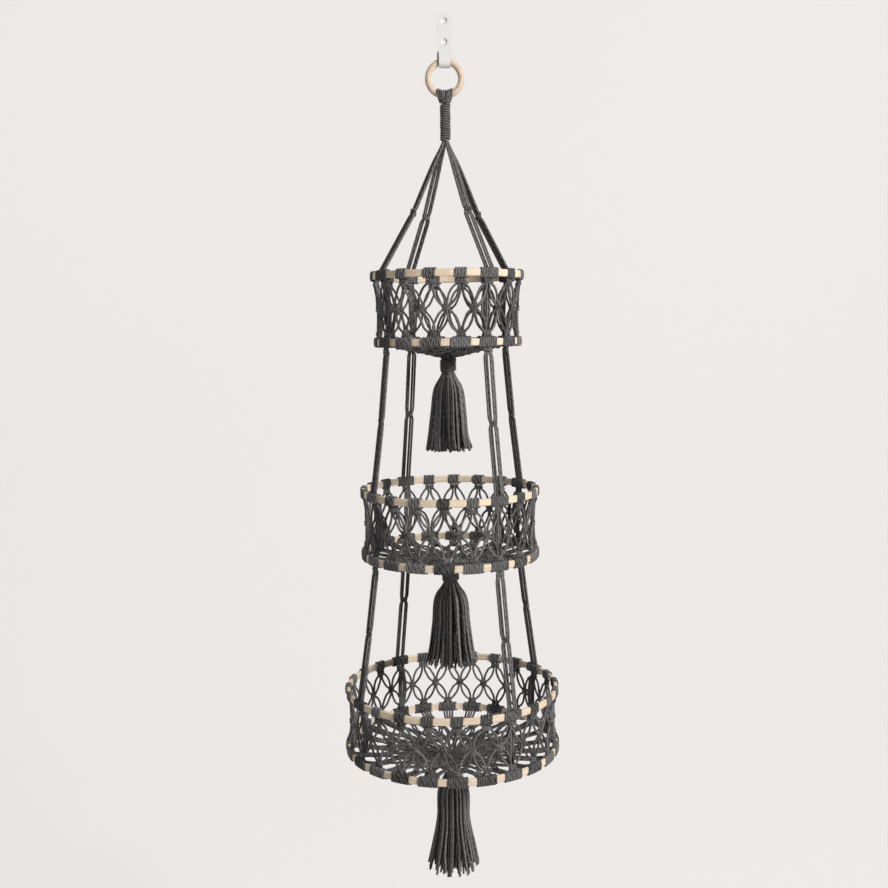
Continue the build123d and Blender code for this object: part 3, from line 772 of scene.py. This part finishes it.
def make_side_net(tier):
    """Knots under the top hoop, halfway and over the bottom hoop, with bowed pairs between."""
    half = HOOP_KNOT_HEIGHT / 2
    upper_z, lower_z = tier.net_top - half, tier.net_bottom + half
    middle_z = (upper_z + lower_z) / 2
    rows = ((upper_z, tier.rim_z, KNOT_WIDTH), (lower_z, tier.base_z, MIDDLE_KNOT_WIDTH))
    cords = Cords()
    for angle, _ in tier.azimuths():
        for knot_z, hoop_z, width in rows:
            place = side_place(tier.net_radius(knot_z), angle, knot_z)
            square_knot(cords, place, width, HOOP_KNOT_HEIGHT)
            way = 1 if knot_z > hoop_z else -1
            hoop_edge = hoop_z + (BAND_HEIGHT / 2 + WOUND_THICKNESS / 2) * way
            heights = (hoop_edge, (hoop_edge + knot_z) / 2, knot_z)
            for offset in (-FAR, -NEAR, NEAR, FAR):
                line = [
                    side_place(tier.net_radius(z), angle, z).put((offset * share, 0, 0))
                    for share, z in zip(HOOP_STRAND_SHARES, heights)
                ]
                cords.add(smooth(line), KNOT_CORD)
            for side in (-1, 1):
                petal(cords, tier, angle, knot_z, middle_z, side)
        between = angle + pi / tier.groups
        place = side_place(tier.net_radius(middle_z), between, middle_z)
        square_knot(cords, place, MIDDLE_KNOT_WIDTH, NET_KNOT_HEIGHT)
    node = f"{tier.name}_basket_side_net"
    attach(cords.make(f"{node}_cords", cord_look, "knotted_cord", node), f"{tier.name}_basket")


def make_side_strands(tier):
    """The legs' straight strands inside the net."""
    cords = Cords()
    top, bottom = tier.net_top - KNOT_HEIGHT / 2, tier.net_bottom + KNOT_HEIGHT / 2
    pitches = (STRAND_PITCH_AT_KNOT, STRAND_PITCH, STRAND_PITCH_AT_KNOT)
    stops = [
        (tier.net_radius(z) - SIDE_STRAND_INSET, z, pitch)
        for z, pitch in zip((top, (top + bottom) / 2, bottom), pitches)
    ]
    for angle, on_leg in tier.azimuths():
        if on_leg:
            leg_strands(cords, angle, stops, SIDE_STRAND_SHARES)
    node = f"{tier.name}_basket_side_strands"
    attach(cords.make(f"{node}_cords", cord_look, "knotted_cord", node), f"{tier.name}_basket")


class Floor:
    """The shallow cone that a floor net lies on."""

    def __init__(self, tier):
        self.rim = tier.base_radius - FLOOR_INSET
        self.eye = tier.gather_radius
        self.top = tier.base_z - FLOOR_RIM_DROP - CORD / 2
        self.slope = FLOOR_SAG / (self.rim - self.eye)

    def place(self, radius, angle):
        """A place on the cone, with up towards the middle and outward off its upper side."""
        lean = atan(self.slope)
        origin = around(radius, angle, self.top - (self.rim - radius) * self.slope)
        across = (cos(angle), sin(angle), 0)
        inward = (-sin(angle) * cos(lean), cos(angle) * cos(lean), -sin(lean))
        return Place(origin, across, np.cross(inward, across) * -1, inward)


def floor_pair(cords, floor, start, end, side):
    """Two strands that bow apart between two knots of a floor net."""
    (start_radius, start_angle), (end_radius, end_angle) = start, end
    middle_radius, middle_angle = (start_radius + end_radius) / 2, (start_angle + end_angle) / 2
    for near, far, bow in ((NEAR, FLOOR_FAR, -FLOOR_BOW), (FLOOR_FAR, NEAR, FLOOR_BOW)):
        lift = dice.uniform(*FLOOR_PAIR_WANDER) * CORD
        line = [
            floor.place(start_radius, start_angle).put((side * near, 0, 0)),
            floor.place(middle_radius, middle_angle).put((side * bow, lift, 0)),
            floor.place(end_radius, end_angle).put((-side * far, 0, 0)),
        ]
        cords.add(smooth(line))


def make_floor(tier):
    """Strands from the bottom hoop through alternating knots to the gather in the middle."""
    floor = Floor(tier)
    cords = Cords()
    radii = [floor.rim * share for share in FLOOR_RING_SHARES]
    half_step = pi / tier.groups
    under_z = tier.base_z - BAND_HEIGHT / 2 - WOUND_THICKNESS / 2
    at_rim, halfway = FLOOR_NARROWING
    for angle, _ in tier.azimuths():
        for index, offset in enumerate(FLOOR_START_OFFSETS):
            inner = (index - (len(FLOOR_START_OFFSETS) - 1) / 2) * NEAR * FLOOR_KNOT_SPREAD
            lift = dice.uniform(-FLOOR_START_WANDER, FLOOR_START_WANDER) * CORD
            line = [
                side_place(tier.base_radius, angle, under_z).put((offset, 0, 0)),
                floor.place(floor.rim, angle).put((offset * at_rim, 0, 0)),
                floor.place((floor.rim + radii[0]) / 2, angle).put((offset * halfway, lift, 0)),
                floor.place(radii[0], angle).put((inner, 0, 0)),
            ]
            cords.add(smooth(line))
        for row, radius in enumerate(radii):
            turned = angle + half_step * (row % 2)
            square_knot(cords, floor.place(radius, turned), FLOOR_KNOT_WIDTHS[row])
            if row < len(radii) - 1:
                for side in (-1, 1):
                    end = (radii[row + 1], turned + side * half_step)
                    floor_pair(cords, floor, (radius, turned), end, side)
    node = f"{tier.name}_basket_floor_net"
    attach(cords.make(f"{node}_cords", cord_look, "knotted_cord", node), f"{tier.name}_basket")


def make_gather(tier):
    """The strands that turn down in the middle of the floor, into the tassel's wrap."""
    floor = Floor(tier)
    cords = Cords()
    start_radius = floor.rim * FLOOR_RING_SHARES[-1]
    half_step = pi / tier.groups
    start_spread, halfway_spread = GATHER_SPREADS
    edge, edge_rise = GATHER_EDGE
    turn, turn_drop = GATHER_TURN
    for angle, _ in tier.azimuths():
        turned = angle + half_step * ((len(FLOOR_RING_SHARES) - 1) % 2)
        for side, layer in GATHER_STRANDS:
            lift = layer * CORD
            crown = max(GATHER_CROWN_LEAST, GATHER_CROWN - GATHER_CROWN_STEP * layer)
            halfway = floor.place((start_radius + floor.eye) / 2, turned)
            turn_z = floor.top - FLOOR_SAG - CORD * turn_drop + lift
            line = [
                floor.place(start_radius, turned).put((side * NEAR * start_spread, 0, 0)),
                halfway.put((side * NEAR * halfway_spread, lift, 0)),
                floor.place(floor.eye * edge, turned).put((0, lift + CORD * edge_rise, 0)),
                around(floor.eye * crown * turn, turned, turn_z),
                around(floor.eye * crown * GATHER_NECK_SHARE, turned, tier.wrap_top - TASSEL_TUCK),
            ]
            cords.add(smooth(line))
    node = f"{tier.name}_basket_gather"
    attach(cords.make(f"{node}_cords", cord_look, "knotted_cord", node), f"{tier.name}_basket")


def make_tassel_wrap(tier):
    """The wrap that binds a tassel's neck."""
    cords = Cords()
    top, bottom = tier.wrap_top, tier.wrap_bottom
    cord = (top - bottom) / TASSEL_WRAP_TURNS
    upright_wrap(cords, tier.gather_radius + cord / 2, top, bottom, TASSEL_WRAP_TURNS, cord)
    node = f"{tier.name}_tassel_wrap"
    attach(cords.make(f"{node}_cord", cord_look, "knotted_cord", node), f"{tier.name}_basket")


def make_tassel(tier):
    """Cut strands that flare from the wrap down to the skirt."""
    cords = Cords()
    top = tier.wrap_bottom
    length = top - tier.skirt_low.z
    for shell, turned in [
        (shell, 2 * pi * index / count) for count, shell in TASSEL_SHELLS for index in range(count)
    ]:
        share = shell * dice.uniform(*TASSEL_SHELL_RANGE)
        angle = turned + dice.uniform(-TASSEL_ANGLE_WANDER, TASSEL_ANGLE_WANDER)
        swirl = dice.uniform(-TASSEL_SWIRL, TASSEL_SWIRL)
        fringe = length * (1 - min(TASSEL_FRAY_MOST, abs(dice.gauss(0, TASSEL_FRAY))))
        neck = tier.gather_radius * TASSEL_NECK_SHARE * share
        shoulder = tier.gather_radius * TASSEL_SHOULDER_SHARE * share
        stops = [(neck, top + TASSEL_TUCK, 0), (neck, top + CORD / 2, 0)]
        stops.append((shoulder, top - TASSEL_SHOULDER, 0))
        for level, radius in zip(TASSEL_LEVELS, TASSEL_RADII[tier.name]):
            loose = 1 - level * abs(dice.gauss(0, TASSEL_LOOSENESS))
            turn = swirl * dice.uniform(0, 2) * level
            stops.append((radius * share * loose, top - length * level, turn))
        flare = tier.skirt_radius * share * dice.uniform(*TASSEL_FLARE_RANGE)
        end_turn = swirl * TASSEL_END_SWIRL + dice.uniform(-TASSEL_SWIRL, TASSEL_SWIRL)
        stops.append((flare, top - fringe, end_turn))
        line = [around(radius, angle + turn, z) for radius, z, turn in stops]
        cords.add(smooth(line, TASSEL_SPACING), TASSEL_CORD)
    piece = cords.make(f"{tier.name}_tassel_strands", tassel_look, "tassel_cord", f"{tier.name}_tassel")
    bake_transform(piece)


# The stage, the light and the camera

FLOOR_DROP = 0.55
BACKDROP_Y = 2.8
BACKDROP_BEND = 1.2
STAGE_HALF_WIDTH = 14.0
STAGE_FRONT_Y = -14.0
STAGE_HEIGHT = 5.0
BEND_STEPS = 16
SKY_STRENGTH = 0.12
SKY_COLOUR = (0.93, 0.925, 0.92, 1)

# Lamps: a place, a power in watts, a size and a colour
KEY_LAMP = ((2.1, -2.2, 0.7), 128, 0.55, (1.0, 0.985, 0.965))
FILL_LAMP = ((-2.2, -1.8, -0.2), 8, 1.6, (0.965, 0.98, 1.0))
BACK_LAMP = ((0.6, 1.7, 0.9), 8, 1.5, (1.0, 1.0, 1.0))
BACKDROP_LAMP_X = 1.9
BACKDROP_AIM_X = 0.4
BACKDROP_LAMP_YZ = (0.9, 0.9)
BACKDROP_LAMP = (19, 1.6, (1.0, 0.985, 0.98))


def make_stage():
    """A pale floor that bends up into a backdrop far behind."""
    floor_z = cad_box[0].z - FLOOR_DROP
    profile = [(STAGE_FRONT_Y, floor_z), (BACKDROP_Y - BACKDROP_BEND, floor_z)]
    for step in range(1, BEND_STEPS + 1):
        turn = pi / 2 * step / BEND_STEPS
        profile.append((
            BACKDROP_Y - BACKDROP_BEND + BACKDROP_BEND * sin(turn),
            floor_z + BACKDROP_BEND * (1 - cos(turn)),
        ))
    profile.append((BACKDROP_Y, floor_z + STAGE_HEIGHT))
    points = [(side * STAGE_HALF_WIDTH, y, z) for y, z in profile for side in (-1, 1)]
    faces = [(2 * i, 2 * i + 1, 2 * i + 3, 2 * i + 2) for i in range(len(profile) - 1)]
    mesh = bpy.data.meshes.new("stage_floor")
    mesh.from_pydata(points, [], faces)
    mesh.shade_smooth()
    mesh.materials.append(stage_material())
    stage = bpy.data.objects.new("stage_floor", mesh)
    bpy.context.scene.collection.objects.link(stage)


def area_light(name, target, location, energy, size, colour):
    """A soft lamp aimed at a target."""
    lamp = bpy.data.lights.new(name, "AREA")
    lamp.energy = energy
    lamp.size = size
    lamp.color = colour
    light = bpy.data.objects.new(name, lamp)
    light.location = location
    light.rotation_euler = (target - Vector(location)).to_track_quat("-Z", "Y").to_euler()
    light.visible_camera = False
    bpy.context.scene.collection.objects.link(light)


def pale_sky():
    """A weak light from all round, which the camera and reflections see as the backdrop's colour."""
    world = bpy.data.worlds.new("pale_sky")
    world.use_nodes = True
    nodes, links = world.node_tree.nodes, world.node_tree.links
    light = nodes["Background"]
    light.inputs["Color"].default_value = SKY_COLOUR
    light.inputs["Strength"].default_value = SKY_STRENGTH
    shown = nodes.new("ShaderNodeBackground")
    shown.inputs["Color"].default_value = BACKDROP_COLOUR
    path = nodes.new("ShaderNodeLightPath")
    seen = path.outputs["Is Camera Ray"]
    for ray in ("Is Glossy Ray", "Is Transmission Ray"):
        larger = nodes.new("ShaderNodeMath")
        larger.operation = "MAXIMUM"
        links.new(seen, larger.inputs[0])
        links.new(path.outputs[ray], larger.inputs[1])
        seen = larger.outputs[0]
    mixed = nodes.new("ShaderNodeMixShader")
    links.new(seen, mixed.inputs[0])
    links.new(light.outputs[0], mixed.inputs[1])
    links.new(shown.outputs[0], mixed.inputs[2])
    links.new(mixed.outputs[0], nodes["World Output"].inputs["Surface"])
    return world


def make_lights():
    """A key lamp at the upper right front, a fill, a back lamp, two on the backdrop, and a pale sky."""
    middle = (cad_box[0] + cad_box[1]) / 2
    area_light("key", middle, *KEY_LAMP)
    area_light("fill", middle, *FILL_LAMP)
    area_light("back", middle, *BACK_LAMP)
    for side in (-1, 1):
        aim = Vector((-side * BACKDROP_AIM_X, BACKDROP_Y, middle.z))
        area_light("backdrop", aim, (side * BACKDROP_LAMP_X, *BACKDROP_LAMP_YZ), *BACKDROP_LAMP)
    bpy.context.scene.world = pale_sky()
    bpy.context.scene.view_settings.view_transform = "Standard"


# The photograph's camera. The lens and the sensor are millimetres
CAMERA_PLACE = (-0.00725, -1.5859, -0.4125)
CAMERA_LENS = 44.78
CAMERA_SENSOR = 36.0
CAMERA_CLIP = (0.05, 50.0)
CAMERA_PITCH = radians(5.89)
CAMERA_ROLL = radians(0.71)


def make_camera():
    """The photograph's camera, from the fit of the hoops."""
    data = bpy.data.cameras.new("camera")
    data.sensor_width = CAMERA_SENSOR
    data.lens = CAMERA_LENS
    data.clip_start, data.clip_end = CAMERA_CLIP
    camera = bpy.data.objects.new("camera", data)
    bpy.context.scene.collection.objects.link(camera)
    level_up = Vector((0, sin(CAMERA_PITCH), cos(CAMERA_PITCH)))
    level_right = Vector((1, 0, 0))
    back = Vector((0, -cos(CAMERA_PITCH), sin(CAMERA_PITCH)))
    right = level_right * cos(CAMERA_ROLL) - level_up * sin(CAMERA_ROLL)
    up = level_up * cos(CAMERA_ROLL) + level_right * sin(CAMERA_ROLL)
    turn = Matrix((right, up, back)).transposed().to_4x4()
    camera.matrix_world = Matrix.Translation(CAMERA_PLACE) @ turn
    bpy.context.scene.camera = camera


def make_baskets():
    """Everything that repeats for each basket."""
    for tier in tiers:
        for hoop in ("top_hoop", "bottom_hoop"):
            dress_node(f"{tier.name}_basket_{hoop}", wood_look)
        make_wraps(tier)
        make_side_net(tier)
        make_side_strands(tier)
        make_floor(tier)
        make_gather(tier)
        make_tassel_wrap(tier)
        make_tassel(tier)


make_stage()
make_lights()
make_camera()
dress_node("wall_hook", steel_look)
dress_node("wood_ring", ring_look)
make_hitch()
make_neck()
make_upper_legs()
make_tier_legs("middle", tiers[0], tiers[1], MIDDLE_KNOT)
make_tier_legs("lower", tiers[1], tiers[2], LOWER_KNOT)
make_baskets()
